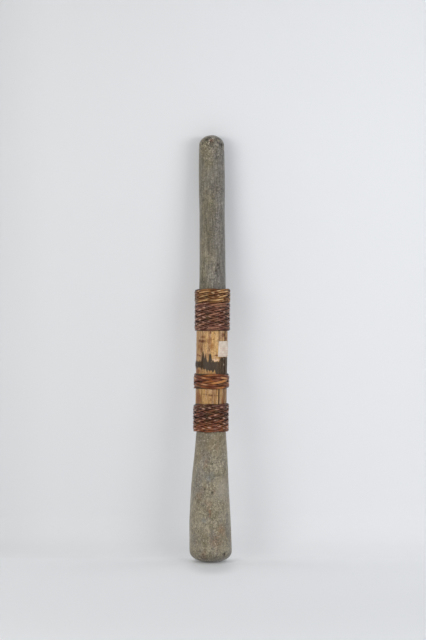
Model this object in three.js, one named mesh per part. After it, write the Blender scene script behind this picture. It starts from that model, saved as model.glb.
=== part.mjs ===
// Stone pestle with a splinted grip: one long stone, bamboo splints laid round its middle,
// and four plaited cane rings that bind the splints to it.
// Millimetres, +Z up. The pestle stands on its pounding end, with the origin on the ground
// under the widest part of the stone. -Y is the front, the side with the paper label.
import * as THREE from "three";

// Stone, from the pounding end upwards
const HEAD_LENGTH = 184.5; // pounding end to the lower end of the grip
const GRIP_LENGTH = 198.5;
const HANDLE_LENGTH = 217; // upper end of the grip to the top
const FOOT_RADIUS = 14; // flat worn on the pounding end
const EDGE_HEIGHT = 14; // rounded edge of the pounding end
const EDGE_RADIUS = 29;
const BELLY_HEIGHT = 46; // the widest place
const BELLY_RADIUS = 29.4;
const TAPER_HEIGHT = 88; // where the belly runs out into the taper
const TAPER_RADIUS = 27.6;
const NECK_RADIUS = 20.1; // at the lower end of the grip
const SHOULDER_RADIUS = 18.8; // at the upper end of the grip
const WAIST_RISE = 90; // the slimmest place of the handle, above the grip
const WAIST_RADIUS = 17.9;
const BUTT_DROP = 55; // a slight swelling, below the top
const BUTT_RADIUS = 18.3;
const DOME_HEIGHT = 15;
const DOME_RADIUS = 17.8;

// Sideways drift of the hand-pecked stone's axis, to the right
const FOOT_DRIFT = 1.2;
const NECK_DRIFT = 1.0;
const SHOULDER_DRIFT = 3.4;
const TOP_DRIFT = 1.9;

// Bamboo splints: each seam has its turn from the front, and its width at both ends
const SPLINT_THICKNESS_LOW = 1.8; // pared thin where the stone is thick
const SPLINT_THICKNESS_HIGH = 3.1;
const SPLINT_ARRIS = 0.5; // bevel along the edges and round the ends
const SEAMS = [
  { turn: -38, low: 0.6, high: 0.6 },
  { turn: 29, low: 1.4, high: 0.5 },
  { turn: 54, low: 0.7, high: 1.3 },
  { turn: 122, low: 0.7, high: 0.6 },
  { turn: 196, low: 0.5, high: 0.9 },
  { turn: 262, low: 0.8, high: 0.6 },
];

// Plaited cane rings: one strand each, over one and under one, going round once for each lead
// and turning back at each edge once for each bight. The stops are the sections of the strand,
// in parts of the way to the next crossing: between the outer two it lies flat over or under.
const NARROW_RING = { leads: 6, bights: 5, stops: [-1 / 3, 0, 1 / 3] };
const WIDE_RING = { leads: 12, bights: 5, stops: [-0.3, 0.3] };
const NARROW_CANE_WIDTH = 2.5;
const WIDE_CANE_WIDTH = 2.45;
const NARROW_CANE_THICKNESS = 0.85;
const WIDE_CANE_THICKNESS = 0.75;
const PEEL_WIDTH_SHARE = 0.8; // where the crowned peel starts, across the cane and up from its middle
const PEEL_HEIGHT_SHARE = 0.15;
const NARROW_SIDE_GAP = 0.5; // between the edges of neighbouring strands
const WIDE_SIDE_GAP = 0.58;
const CROSSING_GAP = 0.55; // between two strands where they cross
const BIGHT_ROUNDNESS = 0.985; // of the turns at the edges: 1 is a sharp corner
const HIDING_CROSSING_NUMBER = 3; // the crossing that covers both cut ends of the strand
const CANE_END_SETBACK = 1.2; // each cut end, from the middle of the strand that covers it
const RING_OVERHANG = 1.2; // of the two end rings, past the ends of the splints
const RING_SPACING = 0.3; // between the two upper rings
const MIDDLE_RING_RISE = 69.2; // centre of the middle ring, above the lower end of the grip

// Blank paper label
const LABEL_HEIGHT = 23;
const LABEL_WIDTH = 32;
const LABEL_THICKNESS = 0.3;
const LABEL_DROP = 14.6; // its upper edge, below the upper wide ring
const LABEL_TURN = 28; // its left edge, from the front

const SEAT_GAP = 0.3; // between each piece and what it sits on

// Facets
const STONE_SIDES = 40;
const BODY_STEP = 14;
const ROUND_STEPS = 7;
const SPLINT_SIDE_ANGLE = 9;
const SPLINT_STEP = 26;

const NECK_Z = HEAD_LENGTH;
const SHOULDER_Z = NECK_Z + GRIP_LENGTH;
const TOP_Z = SHOULDER_Z + HANDLE_LENGTH;

const HEAD_STATIONS = [
  [EDGE_HEIGHT, EDGE_RADIUS],
  [BELLY_HEIGHT, BELLY_RADIUS],
  [TAPER_HEIGHT, TAPER_RADIUS],
  [NECK_Z, NECK_RADIUS],
];
const HANDLE_STATIONS = [
  [SHOULDER_Z, SHOULDER_RADIUS],
  [SHOULDER_Z + WAIST_RISE, WAIST_RADIUS],
  [TOP_Z - BUTT_DROP, BUTT_RADIUS],
  [TOP_Z - DOME_HEIGHT, DOME_RADIUS],
];
const DRIFT_STATIONS = [
  [0, FOOT_DRIFT],
  [BELLY_HEIGHT, 0],
  [NECK_Z, NECK_DRIFT],
  [SHOULDER_Z, SHOULDER_DRIFT],
  [TOP_Z, TOP_DRIFT],
];

const stoneFinish = new THREE.MeshStandardMaterial({ color: 0x7b766b, roughness: 0.85, metalness: 0 });
const bambooFinish = new THREE.MeshStandardMaterial({ color: 0xb58f60, roughness: 0.6, metalness: 0 });
const goldenCane = new THREE.MeshStandardMaterial({ color: 0x8d5628, roughness: 0.4, metalness: 0 });
const darkCane = new THREE.MeshStandardMaterial({ color: 0x5a3122, roughness: 0.4, metalness: 0 });
const paperFinish = new THREE.MeshStandardMaterial({ color: 0xd6cdc4, roughness: 0.9, metalness: 0 });

const lerp = THREE.MathUtils.lerp;

// The angle about Z of a direction that is turned this many degrees to the right of the front.
const fromFront = (turn) => THREE.MathUtils.degToRad(turn - 90);

// A smooth curve through [place, value] stations, each with the slope of the parabola through
// its neighbours.
function smooth(stations, place) {
  const rise = stations.slice(1).map(([p, v], i) => (v - stations[i][1]) / (p - stations[i][0]));
  const slope = stations.map(([p], i) => {
    if (i === 0) return rise[0];
    if (i === stations.length - 1) return rise[i - 1];
    const before = p - stations[i - 1][0];
    const after = stations[i + 1][0] - p;
    return (after * rise[i - 1] + before * rise[i]) / (before + after);
  });
  const next = stations.findIndex(([p], i) => i > 0 && place <= p);
  const i = next < 0 ? stations.length - 2 : next - 1;
  const [p0, v0] = stations[i];
  const [p1, v1] = stations[i + 1];
  const span = p1 - p0;
  const t = THREE.MathUtils.clamp((place - p0) / span, 0, 1);
  const s = 1 - t;
  const straight = s * s * (1 + 2 * t) * v0 + t * t * (3 - 2 * t) * v1;
  return straight + s * t * span * (s * slope[i] - t * slope[i + 1]);
}

// Radius of the stone between its two rounded ends: head, straight cone inside the grip, handle.
function stoneRadius(z) {
  if (z < NECK_Z) return smooth(HEAD_STATIONS, z);
  if (z > SHOULDER_Z) return smooth(HANDLE_STATIONS, z);
  return lerp(NECK_RADIUS, SHOULDER_RADIUS, (z - NECK_Z) / GRIP_LENGTH);
}

function gripRadius(z) {
  const thickness = lerp(SPLINT_THICKNESS_LOW, SPLINT_THICKNESS_HIGH, (z - NECK_Z) / GRIP_LENGTH);
  return stoneRadius(z) + SEAT_GAP + thickness;
}

// Shifts a solid that was built about a straight axis, so that it follows the stone's own axis.
function followAxis(geometry) {
  const position = geometry.getAttribute("position");
  for (let i = 0; i < position.count; i++) {
    position.setX(i, position.getX(i) + smooth(DRIFT_STATIONS, position.getZ(i)));
  }
  return geometry;
}

// Closed solid through sections with equal numbers of points. Each section runs anticlockwise as seen
// from ahead, and outline is the same section in its own plane.
function loft(sections, outline) {
  const count = outline.length;
  const last = (sections.length - 1) * count;
  const index = [];
  for (let start = 0; start < last; start += count) {
    for (let k = 0; k < count; k++) {
      const here = start + k;
      const beside = start + ((k + 1) % count);
      index.push(here, beside, beside + count, here, beside + count, here + count);
    }
  }
  for (const [a, b, c] of THREE.ShapeUtils.triangulateShape(outline, [])) {
    index.push(a, c, b, last + a, last + b, last + c);
  }
  const positions = sections.flat().flatMap((point) => point.toArray());
  return new THREE.BufferGeometry()
    .setAttribute("position", new THREE.Float32BufferAttribute(positions, 3))
    .setIndex(index);
}

// Places from low to high, an equal way apart.
function divided(low, high, count) {
  return Array.from({ length: count + 1 }, (_, i) => lerp(low, high, i / count));
}

// The same, no further apart than step.
const spaced = (low, high, step) => divided(low, high, Math.ceil((high - low) / step));

// Names a solid and puts its own origin at a height on the pestle's upright axis.
function piece(name, geometry, material, height) {
  const mesh = new THREE.Mesh(followAxis(geometry).translate(0, 0, -height), material);
  mesh.name = name;
  mesh.position.z = height;
  return mesh;
}

// The stone: a flat foot, a rounded edge, the body and a domed top, turned about its axis.
function makeStone() {
  const footAngle = Math.asin(FOOT_RADIUS / EDGE_RADIUS);
  const edge = divided(footAngle, Math.PI / 2, ROUND_STEPS).map((t) => {
    const height = EDGE_HEIGHT * (1 - Math.cos(t) / Math.cos(footAngle));
    return new THREE.Vector2(EDGE_RADIUS * Math.sin(t), height);
  });
  const body = [
    ...spaced(EDGE_HEIGHT, NECK_Z, BODY_STEP).slice(1),
    SHOULDER_Z,
    ...spaced(SHOULDER_Z, TOP_Z - DOME_HEIGHT, BODY_STEP).slice(1, -1),
  ].map((z) => new THREE.Vector2(stoneRadius(z), z));
  const dome = divided(0, Math.PI / 2, ROUND_STEPS).map(
    (t) => new THREE.Vector2(DOME_RADIUS * Math.cos(t), TOP_Z - DOME_HEIGHT * (1 - Math.sin(t))),
  );
  dome.at(-1).x = 0;
  const profile = [new THREE.Vector2(0, 0), ...edge, ...body, ...dome];
  return piece("stone", new THREE.LatheGeometry(profile, STONE_SIDES).rotateX(Math.PI / 2), stoneFinish, 0);
}

// One splint between two seams: its inside fits the stone and its outside is straight, with bevelled edges.
function makeSplint(seam, nextSeam, name) {
  const turnRight = nextSeam.turn > seam.turn ? nextSeam.turn : nextSeam.turn + 360;
  const sides = Math.ceil((turnRight - seam.turn) / SPLINT_SIDE_ANGLE);
  const section = (z, bevel) => {
    const share = (z - NECK_Z) / GRIP_LENGTH;
    const outside = gripRadius(z) - bevel;
    const inside = stoneRadius(z) + SEAT_GAP;
    const left = fromFront(seam.turn) + lerp(seam.low, seam.high, share) / 2 / outside;
    const right = fromFront(turnRight) - lerp(nextSeam.low, nextSeam.high, share) / 2 / outside;
    const arris = SPLINT_ARRIS / outside;
    const at = (radius, angle) => new THREE.Vector3(radius * Math.cos(angle), radius * Math.sin(angle), z);
    const face = divided(left + arris, right - arris, sides);
    const back = divided(left, right, sides).reverse();
    return [
      at(outside - SPLINT_ARRIS, left),
      ...face.map((angle) => at(outside, angle)),
      at(outside - SPLINT_ARRIS, right),
      ...back.map((angle) => at(inside, angle)),
    ];
  };
  const heights = spaced(NECK_Z + SPLINT_ARRIS, SHOULDER_Z - SPLINT_ARRIS, SPLINT_STEP);
  const sections = [
    section(NECK_Z, SPLINT_ARRIS),
    ...heights.map((z) => section(z, 0)),
    section(SHOULDER_Z, SPLINT_ARRIS),
  ];
  const outline = sections[0].map((point) => new THREE.Vector2(point.x, point.y));
  return piece(name, loft(sections, outline), bambooFinish, NECK_Z);
}

// Section of split cane across its width and thickness: flat pith below, crowned peel above.
function caneSection({ width, thickness }) {
  const half = width / 2;
  const low = -thickness / 2;
  const peelHalf = half * PEEL_WIDTH_SHARE;
  const peelLow = thickness * PEEL_HEIGHT_SHARE;
  return [
    new THREE.Vector2(-half, low),
    new THREE.Vector2(half, low),
    new THREE.Vector2(peelHalf, peelLow),
    new THREE.Vector2(0, -low),
    new THREE.Vector2(-peelHalf, peelLow),
  ];
}

// How far the middle of a strand goes from edge to edge of its ring.
const ringSpan = (ring, cane) => ring.leads * (cane.width + cane.sideGap);

// Height of a whole ring.
const ringBand = (ring, cane) => ringSpan(ring, cane) + cane.width;

// The path of a ring's strand, followed by its crossings: it meets another strand at every whole
// number, except where it turns back at an edge, which comes once in every leads of them.
function plaitPath({ leads, bights, stops }, span, thickness, middle) {
  const flatShare = Math.cos(Math.PI * stops.at(-1));
  const longestStep = Math.max(...stops.map((stop, i) => stop - (i ? stops[i - 1] : stops.at(-1) - 1)));
  const chordSag = gripRadius(middle) * (1 - Math.cos((Math.PI * longestStep) / bights / 2));
  const lift = (thickness + CROSSING_GAP) / 2;

  // How many crossings lie behind, with the turn at an edge half-way between two of them. They count
  // from the lower edge, so a strand that rises to the right passes over at the lowest crossing.
  const crossingsPassed = (n) => {
    const leg = Math.floor(n / leads);
    const along = n - leg * leads;
    const before = (leg - 1) * (leads - 1);
    if (along < 1) return before - 0.5 + along / 2;
    if (along > leads - 1) return before + leads - 2 + (along - leads + 1) / 2;
    return before + along - 1;
  };
  return (n) => {
    const swing = Math.asin(BIGHT_ROUNDNESS * Math.cos((Math.PI * n) / leads)) / Math.asin(BIGHT_ROUNDNESS);
    const over = THREE.MathUtils.clamp(Math.cos(Math.PI * crossingsPassed(n)) / flatShare, -1, 1);
    const z = middle + (span / 2) * swing;
    const radius = gripRadius(z) + SEAT_GAP + chordSag + thickness / 2 + lift * (1 + over);
    const angle = (Math.PI * n) / bights + fromFront(0);
    return new THREE.Vector3(radius * Math.cos(angle), radius * Math.sin(angle), z);
  };
}

// One plaited ring: a strand of split cane that starts and ends under the same crossing.
function makeRing(name, ring, cane, material, middle) {
  const pathAt = plaitPath(ring, ringSpan(ring, cane), cane.thickness, middle);
  const setback = CANE_END_SETBACK / ((gripRadius(middle) * Math.PI) / ring.bights);
  const start = HIDING_CROSSING_NUMBER + setback;
  const end = HIDING_CROSSING_NUMBER + 2 * ring.leads * ring.bights - setback;
  const between = [];
  for (let crossing = HIDING_CROSSING_NUMBER; crossing < end + 1; crossing++) {
    between.push(...ring.stops.map((stop) => crossing + stop));
  }
  const stops = [start, ...between.filter((n) => n > start && n < end), end];

  const outline = caneSection(cane);
  const nudge = 0.02;
  const sections = stops.map((n) => {
    const point = pathAt(n);
    const ahead = pathAt(n + nudge).sub(pathAt(n - nudge)).normalize();
    const across = new THREE.Vector3(point.x, point.y, 0).cross(ahead).normalize();
    const outward = new THREE.Vector3().crossVectors(ahead, across);
    return outline.map(({ x, y }) => point.clone().addScaledVector(across, x).addScaledVector(outward, y));
  });
  const gap = leastGap(sections, 2 * ring.stops.length, cane.width);
  console.log(`${name}: least gap to itself ${gap.toFixed(2)} mm`);
  return piece(name, loft(sections, outline), material, middle);
}

// Least distance between points on a strand, at sections that are at least apart from each other.
function leastGap(sections, apart, width) {
  const shares = [0, 0.25, 0.5, 0.75];
  const slices = sections.slice(1).flatMap((section, i) =>
    shares.map((share) => {
      const points = section.map((point, k) => sections[i][k].clone().lerp(point, share));
      const middles = points.map((point, k) => point.clone().lerp(points[(k + 1) % points.length], 0.5));
      return [...points, ...middles];
    }),
  );
  let least = Infinity;
  for (let i = 0; i < slices.length; i++) {
    for (let j = i + apart * shares.length; j < slices.length; j++) {
      if (slices[i][0].distanceTo(slices[j][0]) > width * 3) continue;
      for (const a of slices[i]) {
        for (const b of slices[j]) least = Math.min(least, a.distanceTo(b));
      }
    }
  }
  return least;
}

// The label: a thin sheet wrapped round the splints.
function makeLabel(top) {
  const middle = top - LABEL_HEIGHT / 2;
  const inside = gripRadius(middle) + SEAT_GAP;
  const left = fromFront(LABEL_TURN);
  const right = left + LABEL_WIDTH / inside;
  const sheet = new THREE.Shape();
  sheet.absarc(0, 0, inside + LABEL_THICKNESS, left, right, false);
  sheet.absarc(0, 0, inside, right, left, true);
  const geometry = new THREE.ExtrudeGeometry(sheet, {
    depth: LABEL_HEIGHT,
    bevelEnabled: false,
    curveSegments: ROUND_STEPS,
  });
  return piece("paper_label", geometry.translate(0, 0, top - LABEL_HEIGHT), paperFinish, middle);
}

const pestle = new THREE.Group();
const grip = new THREE.Group();
pestle.add(makeStone(), grip);

SEAMS.forEach((seam, i) => {
  grip.add(makeSplint(seam, SEAMS[(i + 1) % SEAMS.length], `bamboo_splint_${i + 1}`));
});

const narrowCane = { width: NARROW_CANE_WIDTH, thickness: NARROW_CANE_THICKNESS, sideGap: NARROW_SIDE_GAP };
const wideCane = { width: WIDE_CANE_WIDTH, thickness: WIDE_CANE_THICKNESS, sideGap: WIDE_SIDE_GAP };
const narrowBand = ringBand(NARROW_RING, narrowCane);
const wideBand = ringBand(WIDE_RING, wideCane);
const topRingZ = SHOULDER_Z + RING_OVERHANG - narrowBand / 2;
const upperRingZ = topRingZ - narrowBand / 2 - RING_SPACING - wideBand / 2;
const middleRingZ = NECK_Z + MIDDLE_RING_RISE;
const lowerRingZ = NECK_Z - RING_OVERHANG + wideBand / 2;

const narrowRing = (name, z) => makeRing(name, NARROW_RING, narrowCane, goldenCane, z);
const wideRing = (name, z) => makeRing(name, WIDE_RING, wideCane, darkCane, z);

grip.add(
  narrowRing("cane_ring_top_narrow", topRingZ),
  wideRing("cane_ring_upper_wide", upperRingZ),
  narrowRing("cane_ring_middle_narrow", middleRingZ),
  wideRing("cane_ring_lower_wide", lowerRingZ),
  makeLabel(upperRingZ - wideBand / 2 - LABEL_DROP),
);

export default pestle;
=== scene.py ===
"""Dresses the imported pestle: a pecked stone, bamboo splints, plaited cane rings and a blank paper label."""
import math
from collections import namedtuple

import bpy
import numpy as np
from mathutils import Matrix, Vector, noise


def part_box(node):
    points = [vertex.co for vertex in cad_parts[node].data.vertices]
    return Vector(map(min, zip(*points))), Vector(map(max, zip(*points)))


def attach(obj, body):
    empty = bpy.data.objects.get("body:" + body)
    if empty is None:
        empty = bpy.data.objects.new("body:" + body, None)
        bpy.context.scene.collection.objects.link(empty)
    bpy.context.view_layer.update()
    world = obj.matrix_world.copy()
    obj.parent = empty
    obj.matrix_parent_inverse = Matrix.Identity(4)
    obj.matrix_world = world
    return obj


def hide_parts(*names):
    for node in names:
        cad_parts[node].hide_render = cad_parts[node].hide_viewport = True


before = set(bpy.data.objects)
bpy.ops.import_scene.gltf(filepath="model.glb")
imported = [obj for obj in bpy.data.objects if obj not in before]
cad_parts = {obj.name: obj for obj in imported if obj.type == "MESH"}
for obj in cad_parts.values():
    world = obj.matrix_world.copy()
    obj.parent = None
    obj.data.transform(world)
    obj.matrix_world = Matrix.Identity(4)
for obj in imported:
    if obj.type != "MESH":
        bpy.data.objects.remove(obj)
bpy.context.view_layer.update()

X, Y, Z = range(3)

# Places from the frame, in metres
GRIP_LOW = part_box("bamboo_splint_1")[0][Z]
GRIP_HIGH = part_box("bamboo_splint_1")[1][Z]
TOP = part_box("stone")[1][Z]

# Stone: (height, radius) of its main places, and (height, drift to the right) of its axis
FOOT_RADIUS = 0.014
EDGE_HEIGHT = 0.014
EDGE_RADIUS = 0.029
BELLY_HEIGHT = 0.046
NECK_RADIUS = 0.0201
SHOULDER_RADIUS = 0.0188
DOME_HEIGHT = 0.015
DOME_RADIUS = 0.0178
HEAD_STATIONS = [(EDGE_HEIGHT, EDGE_RADIUS), (BELLY_HEIGHT, 0.0294), (0.088, 0.0276), (GRIP_LOW, NECK_RADIUS)]
HANDLE_STATIONS = [
    (GRIP_HIGH, SHOULDER_RADIUS),
    (GRIP_HIGH + 0.09, 0.0179),
    (TOP - 0.055, 0.0183),
    (TOP - DOME_HEIGHT, DOME_RADIUS),
]
DRIFT_STATIONS = [(0, 0.0012), (BELLY_HEIGHT, 0), (GRIP_LOW, 0.001), (GRIP_HIGH, 0.0034), (TOP, 0.0019)]

# Bamboo splints, between the stone and the rings
SPLINT_SEAT = 0.0003
SPLINT_THICKNESS_LOW = 0.0018
SPLINT_THICKNESS_HIGH = 0.0031
# Radius at which the splints and rings are laid out flat for their materials
LIE_RADIUS = 0.0222
# Radius of a pecked dimple, as a share of the distance between two
DIMPLE_RADIUS = 0.62


# Curves and places

def smooth(stations, place):
    """The smooth curve through (place, value) stations, with the slopes of parabolas."""
    at, value = np.array(stations, float).T
    step = np.diff(at)
    rise = np.diff(value) / step
    inner = (step[1:] * rise[:-1] + step[:-1] * rise[1:]) / (step[:-1] + step[1:])
    slope = np.concatenate([rise[:1], inner, rise[-1:]])
    place = np.clip(place, at[0], at[-1])
    i = np.clip(np.searchsorted(at, place) - 1, 0, len(step) - 1)
    t = (place - at[i]) / step[i]
    s = 1 - t
    bend = s * t * step[i] * (s * slope[i] - t * slope[i + 1])
    return s * s * (1 + 2 * t) * value[i] + t * t * (3 - 2 * t) * value[i + 1] + bend


def ease(low, high, value):
    """0 below low, 1 above high, and a soft step between them."""
    t = np.clip((value - low) / (high - low), 0, 1)
    return t * t * (3 - 2 * t)


def hump(middle, width, value):
    """1 at the middle, falling off like a bell."""
    return np.exp(-(((value - middle) / width) ** 2))


def heights(node):
    """Heights of a node's lower and upper end."""
    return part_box(node)[0][Z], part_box(node)[1][Z]


def drift(z):
    return smooth(DRIFT_STATIONS, z)


def grip_share(z):
    return (z - GRIP_LOW) / (GRIP_HIGH - GRIP_LOW)


def cone_radius(z):
    """Radius of the stone inside the grip."""
    return NECK_RADIUS + (SHOULDER_RADIUS - NECK_RADIUS) * grip_share(z)


def grip_radius(z):
    """Outer radius of the splints."""
    thickness = SPLINT_THICKNESS_LOW + (SPLINT_THICKNESS_HIGH - SPLINT_THICKNESS_LOW) * grip_share(z)
    return cone_radius(z) + SPLINT_SEAT + thickness


def from_front(turn):
    """Angle about Z of a turn in degrees to the right of the front."""
    return np.radians(turn - 90)


def turned(angle, turn):
    """Angle from such a turn, -pi to pi."""
    return np.angle(np.exp(1j * (angle - from_front(turn))))


def on_axis(radius, angle, z):
    """Points at a radius and an angle about the stone's own axis."""
    radius, angle, z = np.broadcast_arrays(radius, angle, z)
    return np.stack([drift(z) + radius * np.cos(angle), radius * np.sin(angle), z], -1)


def distance_along(line):
    """Distance of each point of a line from its start."""
    return np.concatenate([[0], np.cumsum(np.linalg.norm(np.diff(line, axis=0), axis=1))])


def noise_at(points, scale, seed=0.0):
    """Soft noise, about -1 to 1, at each point."""
    flat = points.reshape(-1, 3) * scale + seed
    return np.array([noise.noise(p) for p in flat]).reshape(points.shape[:-1])


def dimples_at(points, scale):
    """Round hollows packed side by side: 1 at the middle of each, 0 at its rim."""
    nearest = np.array([noise.voronoi(p)[0][0] for p in points.reshape(-1, 3) * scale])
    return np.clip(1 - (nearest.reshape(points.shape[:-1]) / DIMPLE_RADIUS) ** 2, 0, 1)


# Meshes

def add_object(name, data):
    """A new object in the scene for a mesh, a lamp or a camera."""
    holder = bpy.data.objects.new(name, data)
    bpy.context.scene.collection.objects.link(holder)
    return holder


def make_mesh(name, points, faces, values=None, uv=None):
    """A mesh object from points and faces, with named values and a UV map at its points."""
    mesh = bpy.data.meshes.new(name)
    mesh.from_pydata(points.tolist(), [], faces)
    for key, value in (values or {}).items():
        attribute = mesh.attributes.new(key, "FLOAT", "POINT")
        attribute.data.foreach_set("value", np.ascontiguousarray(value, np.float32).ravel())
    if uv is not None:
        corner = np.empty(len(mesh.loops), np.int32)
        mesh.loops.foreach_get("vertex_index", corner)
        mesh.uv_layers.new(name="Lie").data.foreach_set("uv", uv[corner].astype(np.float32).ravel())
    mesh.shade_smooth()
    return add_object(name, mesh)


def grid_faces(rows, columns, closed):
    """Quads between neighbouring rows of points. A closed grid joins each row's end to its start."""
    faces = []
    for r in range(rows - 1):
        for c in range(columns if closed else columns - 1):
            here = r * columns + c
            beside = r * columns + (c + 1) % columns
            faces.append((here, beside, beside + columns, here + columns))
    return faces


def tube_faces(rows, columns):
    """A closed grid with a cap on its first and last row."""
    first = tuple(reversed(range(columns)))
    last = tuple(range((rows - 1) * columns, rows * columns))
    return grid_faces(rows, columns, True) + [first, last]


def dress(piece, node, material):
    """Puts a finished piece in the place of its CAD node."""
    piece.data.materials.append(material)
    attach(piece, "root")
    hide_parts(node)


# Materials

class Surface:
    """One procedural material, or the world, with short ways to add nodes. Its base is the colour so far."""

    def __init__(self, name, kind="materials", shader="Principled BSDF"):
        self.material = getattr(bpy.data, kind).new(name)
        self.material.use_nodes = True
        self.tree = self.material.node_tree
        self.shader = self.tree.nodes[shader]
        self.base = None

    def put(self, socket, value):
        if isinstance(value, bpy.types.NodeSocket):
            self.tree.links.new(value, socket)
        else:
            socket.default_value = value

    def set(self, **inputs):
        for name, value in inputs.items():
            self.put(self.shader.inputs[name.replace("_", " ")], value)

    def add(self, kind, inputs, output=0, **settings):
        node = self.tree.nodes.new("ShaderNode" + kind)
        for name, value in settings.items():
            setattr(node, name, value)
        for key, value in inputs.items():
            self.put(node.inputs[key], value)
        return node.outputs[output]

    def place(self):
        return self.add("TexCoord", {}, "Object")

    def lie(self):
        return self.add("UVMap", {}, uv_map="Lie")

    def value(self, name):
        return self.add("Attribute", {}, "Fac", attribute_name=name)

    def ray(self, kind):
        return self.add("LightPath", {}, f"Is {kind} Ray")

    def seen(self):
        """1 where the camera sees it, straight or in a gloss or through glass, and 0 elsewhere."""
        seen = self.math("MAXIMUM", self.ray("Camera"), self.ray("Glossy"))
        return self.math("MAXIMUM", seen, self.ray("Transmission"))

    def part(self, vector, axis):
        return self.add("SeparateXYZ", {0: vector}, axis)

    def noise(self, vector, scale, detail, roughness, stretch=None, move=(0, 0, 0)):
        if stretch is not None:
            vector = self.add("Mapping", {"Vector": vector, "Scale": stretch, "Location": move})
        inputs = {"Vector": vector, "Scale": scale, "Detail": detail, "Roughness": roughness}
        return self.add("TexNoise", inputs, "Fac")

    def cells(self, vector, scale):
        """A random colour in each cell of a crystal pattern."""
        return self.add("TexVoronoi", {"Vector": vector, "Scale": scale}, "Color")

    def math(self, operation, a, b=0.0):
        return self.add("Math", {0: a, 1: b}, operation=operation)

    def fit(self, value, low, high, to_low=0.0, to_high=1.0):
        """A soft step from to_low to to_high while the value goes from low to high."""
        inputs = {0: value, 1: low, 2: high, 3: to_low, 4: to_high}
        return self.add("MapRange", inputs, interpolation_type="SMOOTHSTEP")

    def mix(self, share, a, b, blend="MIX"):
        return self.add("Mix", {0: share, 6: a, 7: b}, 2, data_type="RGBA", blend_type=blend)

    def shade(self, base, value, low, high, dark, light):
        """The base made darker or lighter while the value goes from low to high."""
        return self.mix(1.0, base, self.fit(value, low, high, dark, light), "MULTIPLY")

    def tint(self, colour, *masks):
        """Mixes a colour into the base by the product of the masks."""
        share = masks[0]
        for mask in masks[1:]:
            share = self.math("MULTIPLY", share, mask)
        self.base = self.mix(share, self.base, colour)

    def spot(self, place, middle, size):
        """1 at a point and 0 from a size away, with the size given along each axis."""
        offset = self.add("VectorMath", {0: place, 1: middle}, operation="SUBTRACT")
        scaled = self.add("VectorMath", {0: offset, 1: size}, operation="DIVIDE")
        return self.fit(self.add("VectorMath", {0: scaled}, "Value", operation="LENGTH"), 1.0, 0.2)

    def ramp(self, value, stops):
        """Colours along a value: stops are (place, colour)."""
        node = self.tree.nodes.new("ShaderNodeValToRGB")
        elements = node.color_ramp.elements
        while len(elements) < len(stops):
            elements.new(1.0)
        for element, (position, colour) in zip(elements, stops):
            element.position = position
            element.color = colour
        self.put(node.inputs[0], value)
        return node.outputs[0]

    def bump(self, height, depth, strength, after=None):
        inputs = {"Height": height, "Distance": depth, "Strength": strength}
        if after is not None:
            inputs["Normal"] = after
        return self.add("Bump", inputs)


def rgb(red, green, blue):
    """Linear colour from the 0 to 255 values that a screen shows, by the sRGB formula."""
    shown = np.array([red, green, blue]) / 255
    linear = np.where(shown <= 0.04045, shown / 12.92, ((shown + 0.055) / 1.055) ** 2.4)
    return (*linear.tolist(), 1.0)


# Stone

STONE_COLUMNS = 190
STONE_ROW = 0.0009
HIDDEN_ROW = 0.008
HIDDEN_MARGIN = 0.004
OUTLINE_STEPS = 300
INSIDE_STEPS = 40
ARC_STEPS = 60
# Relief: waves are (depth, scale, seed) of a noise, the other noises are (scale, seed)
WAVES = [(0.00028, 24, 1.7), (0.00016, 70, 5.2), (0.00008, 620, 2.3)]
PECK_DEPTH = 0.00022
PECK_SCALE = 380
BATTERED_NOISE = (55, 3.1)
CHIP_DEPTH = 0.001
CHIP_NOISE = (170, 9.4)
FOOT_SWELLING = 0.0008
FOOT_PLACE = (0.016, 0.015)
NECK_SWELLING = 0.0009
NECK_START = (0.1, 0.17)
NECK_END = (0.25, 0.3)
# Heights between which the sole, the crown and the flat of the foot end or begin
SOLE_ENDS = (0.005, 0.016)
CROWN_BEGINS = (0.568, 0.592)
FLAT_ENDS = (0.0, 0.0045)
# How far into the grip the relief fades, and the least radius that a pit is measured on
GRIP_FADE = 0.002
LEAST_RADIUS = 0.004
# Single pits: turn from the front in degrees, height, radius and depth
PITS = [
    (-16, 0.1038, 0.002, 0.001),
    (7, 0.0992, 0.0021, 0.0013),
    (41, 0.0125, 0.0026, 0.001),
    (51, 0.5853, 0.0024, 0.0016),
    (-24, 0.5915, 0.002, 0.0011),
    (25, 0.4165, 0.002, 0.0014),
    (16, 0.4085, 0.0018, 0.0012),
    (27, 0.412, 0.0013, 0.0009),
    (58, 0.068, 0.0016, 0.0009),
    (57, 0.065, 0.0014, 0.0008),
    (6, 0.139, 0.0013, 0.0007),
    (-3, 0.131, 0.0014, 0.0008),
    (-50, 0.03, 0.0012, 0.0006),
]
# Random pits: number, seed, range of radii, range of depths as shares of the radius, and lowest place
RANDOM_PITS = 150
PIT_SEED = 7
PIT_RADII = (0.0006, 0.0014)
PIT_DEPTHS = (0.2, 0.5)
PIT_LOWEST = 0.004
PIT_STRETCH = 0.8
PIT_SHARPNESS = 1.6
# Depth at which a pit is painted fully dark, as painted shade in its hollow
DARK_PIT_DEPTH = 0.0008

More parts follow.
